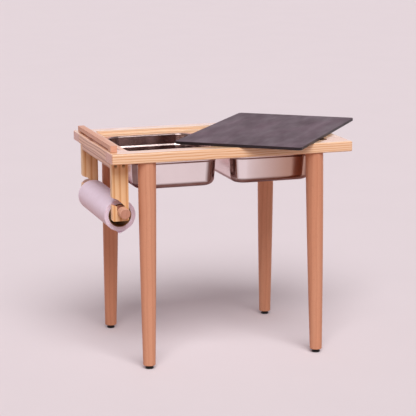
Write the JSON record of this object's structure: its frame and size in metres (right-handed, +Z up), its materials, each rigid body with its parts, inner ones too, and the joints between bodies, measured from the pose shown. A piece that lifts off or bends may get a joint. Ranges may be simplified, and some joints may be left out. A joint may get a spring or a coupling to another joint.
{
  "type": "sensory play table",
  "caption": "Low wooden play table: stepped pine top frame holding lift-out steel pans, loose black lid, tapered legs on screw feet, paper roll on hook brackets feeding under a bar.",
  "frame": {"origin": "centre of the box of the whole object, the lid as it lies included, on the floor", "axes": "+X along the table away from the paper roll, +Y from the front to the back, +Z up"},
  "size_m": [0.8208, 0.651, 0.6033],
  "materials": {
    "pine": "satin",
    "beech": "satin",
    "pan_steel": "satin",
    "black_board": "matte",
    "paper": "matte",
    "cardboard": "matte",
    "zinc_steel": "satin",
    "black_foot": "matte"
  },
  "bodies": {
    "table": {"front_rail": "pine", "back_rail": "pine", "left_rail": "pine", "right_rail": "pine", "frame_dowel_front_left_outer": "beech", "frame_dowel_front_left_inner": "beech", "frame_dowel_front_right_outer": "beech", "frame_dowel_front_right_inner": "beech", "frame_dowel_back_left_outer": "beech", "frame_dowel_back_left_inner": "beech", "frame_dowel_back_right_outer": "beech", "frame_dowel_back_right_inner": "beech", "leg_front_left": "beech", "leg_front_right": "beech", "leg_back_left": "beech", "leg_back_right": "beech", "leg_insert_front_left": "zinc_steel", "leg_insert_front_right": "zinc_steel", "leg_insert_back_left": "zinc_steel", "leg_insert_back_right": "zinc_steel", "leg_bolt_front_left": "zinc_steel", "leg_bolt_front_right": "zinc_steel", "leg_bolt_back_left": "zinc_steel", "leg_bolt_back_right": "zinc_steel", "foot_insert_front_left": "zinc_steel", "foot_insert_front_right": "zinc_steel", "foot_insert_back_left": "zinc_steel", "foot_insert_back_right": "zinc_steel", "paper_bar": "beech", "paper_bar_dowel_front_outer": "beech", "paper_bar_dowel_front_inner": "beech", "paper_bar_dowel_back_outer": "beech", "paper_bar_dowel_back_inner": "beech", "bracket_front": "pine", "bracket_back": "pine", "bracket_screw_front_left": "zinc_steel", "bracket_screw_front_right": "zinc_steel", "bracket_screw_back_left": "zinc_steel", "bracket_screw_back_right": "zinc_steel", "bracket_cleat": "pine", "cleat_dowel_front": "beech", "cleat_dowel_back": "beech"},
    "pan_left": {"pan_left": "pan_steel"},
    "pan_right": {"pan_right": "pan_steel"},
    "lid": {"lid": "black_board"},
    "screw_foot_front_left": {"foot_front_left": "black_foot", "foot_stud_front_left": "zinc_steel"},
    "screw_foot_front_right": {"foot_front_right": "black_foot", "foot_stud_front_right": "zinc_steel"},
    "screw_foot_back_left": {"foot_back_left": "black_foot", "foot_stud_back_left": "zinc_steel"},
    "screw_foot_back_right": {"foot_back_right": "black_foot", "foot_stud_back_right": "zinc_steel"},
    "paper_rod": {"paper_rod": "beech"},
    "roll": {"roll_core": "cardboard", "paper_roll": "paper"}
  },
  "joints": [
    {"name": "lid_lift", "type": "slide", "parent": "table", "child": "lid", "axis": [0, 0, 1], "range_m": [0, 0.2]},
    {"name": "pan_left_lift", "type": "slide", "parent": "table", "child": "pan_left", "axis": [0, 0, 1], "range_m": [0, 0.0135]},
    {"name": "pan_right_lift", "type": "slide", "parent": "table", "child": "pan_right", "axis": [0, 0, 1], "range_m": [0, 0.0135]},
    {"name": "rod_lift_out", "type": "slide", "parent": "table", "child": "paper_rod", "axis": [-0.342, 0, 0.9397], "range_m": [0, 0.018]},
    {"name": "roll_spin", "type": "hinge", "parent": "paper_rod", "child": "roll", "pos_m": [-0.36793, -0.007, 0.4101], "axis": [0, 1, 0], "continuous": true},
    {"name": "foot_turn_front_left", "type": "hinge", "parent": "table", "child": "screw_foot_front_left", "pos_m": [-0.30846, -0.21536, 0], "axis": [0, 0, -1], "range_deg": [0, 2160]},
    {"name": "foot_turn_front_right", "type": "hinge", "parent": "table", "child": "screw_foot_front_right", "pos_m": [0.1692, -0.21536, 0], "axis": [0, 0, -1], "range_deg": [0, 2160]},
    {"name": "foot_turn_back_left", "type": "hinge", "parent": "table", "child": "screw_foot_back_left", "pos_m": [-0.30846, 0.20136, 0], "axis": [0, 0, -1], "range_deg": [0, 2160]},
    {"name": "foot_turn_back_right", "type": "hinge", "parent": "table", "child": "screw_foot_back_right", "pos_m": [0.1692, 0.20136, 0], "axis": [0, 0, -1], "range_deg": [0, 2160]}
  ]
}
